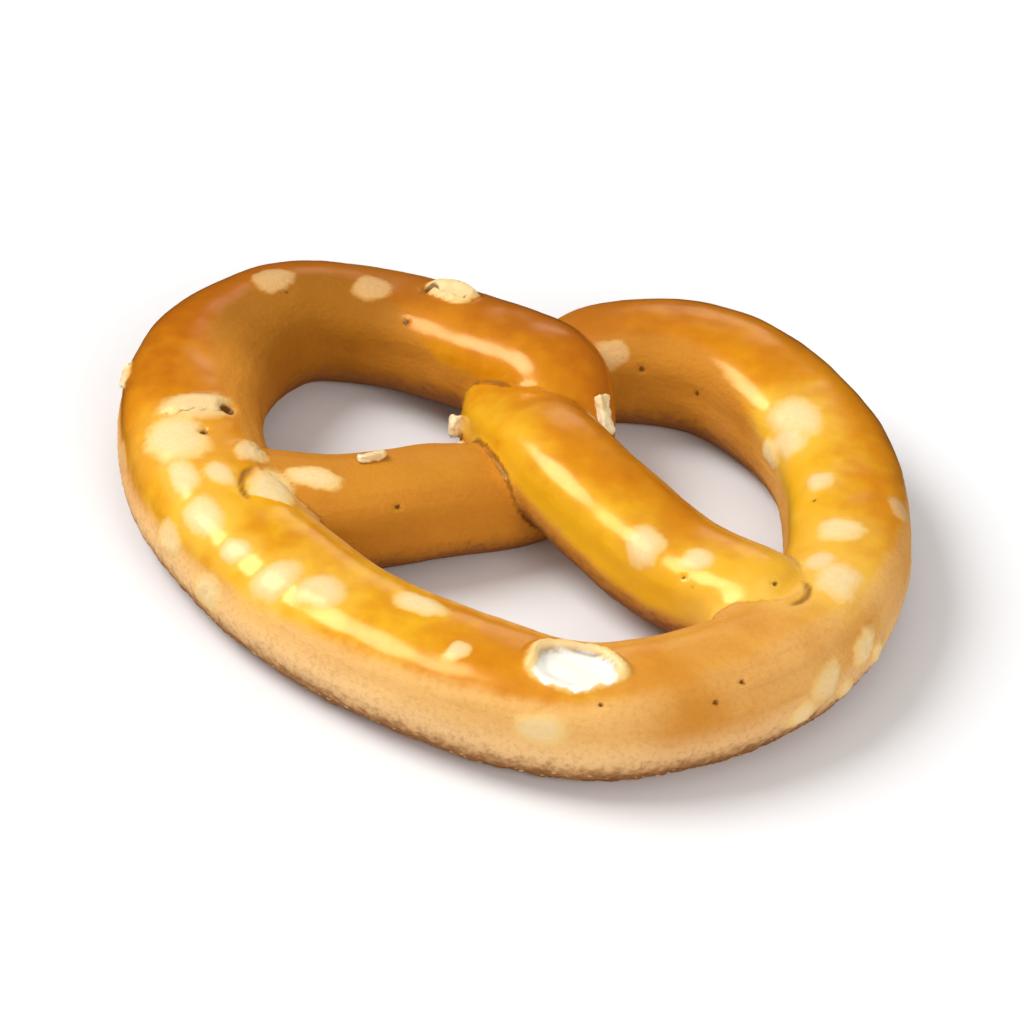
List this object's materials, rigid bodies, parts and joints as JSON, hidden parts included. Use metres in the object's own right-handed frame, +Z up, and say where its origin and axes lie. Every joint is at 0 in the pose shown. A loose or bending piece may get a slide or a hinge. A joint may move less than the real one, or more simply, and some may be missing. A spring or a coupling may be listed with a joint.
{
  "type": "hard salted mini pretzel",
  "caption": "Small hard-baked snack pretzel: a strand of dough twisted over itself into a loop with open holes, a flat sole and coarse salt baked into a glossy crust.",
  "frame": {"origin": "below the middle of the bounding box, on the plane the pretzel rests on", "axes": "+X to the right lobe, +Y from the belly to the lobes, +Z up through the crust's shiny side"},
  "size_m": [0.0416, 0.0368, 0.0072],
  "materials": {
    "baked_crust": "glossy golden-brown baked crust with pale salt grains"
  },
  "bodies": {
    "root": {"pretzel": "baked_crust"}
  },
  "joints": []
}
